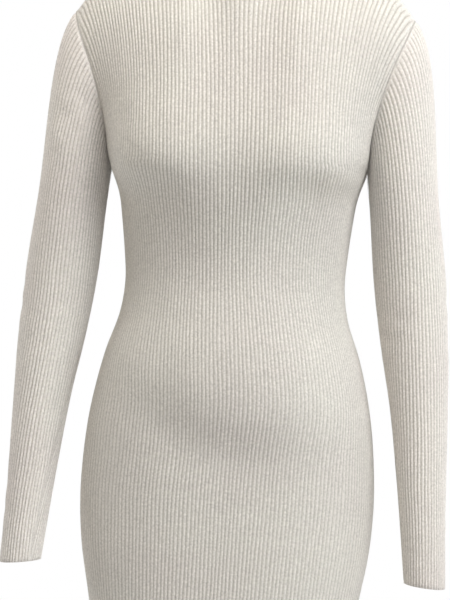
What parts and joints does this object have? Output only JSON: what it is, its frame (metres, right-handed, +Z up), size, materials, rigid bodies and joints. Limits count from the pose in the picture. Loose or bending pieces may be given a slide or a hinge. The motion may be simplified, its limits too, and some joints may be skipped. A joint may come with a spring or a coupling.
{
  "type": "sweater dress",
  "caption": "Close-fitting rib-knit dress in its worn shape, hollow, with long set-in sleeves and a short stand collar, ending above the knee.",
  "frame": {"origin": "on the centre line, level with the tops of the shoulder seams beside the neck, where the wearer's shoulders carry the dress", "axes": "+Z up towards the collar, -Y out of the front, +X to the wearer's left"},
  "size_m": [0.4818, 0.2405, 0.9294],
  "materials": {
    "front_knit": "fine rib knit, soft and matt",
    "back_knit": "fine rib knit, soft and matt",
    "sleeve_left_knit": "fine rib knit, soft and matt",
    "sleeve_right_knit": "fine rib knit, soft and matt",
    "collar_knit": "fine rib knit, soft and matt"
  },
  "bodies": {
    "root": {"front": "front_knit", "back": "back_knit", "sleeve_left": "sleeve_left_knit", "sleeve_right": "sleeve_right_knit", "collar": "collar_knit"}
  },
  "joints": []
}
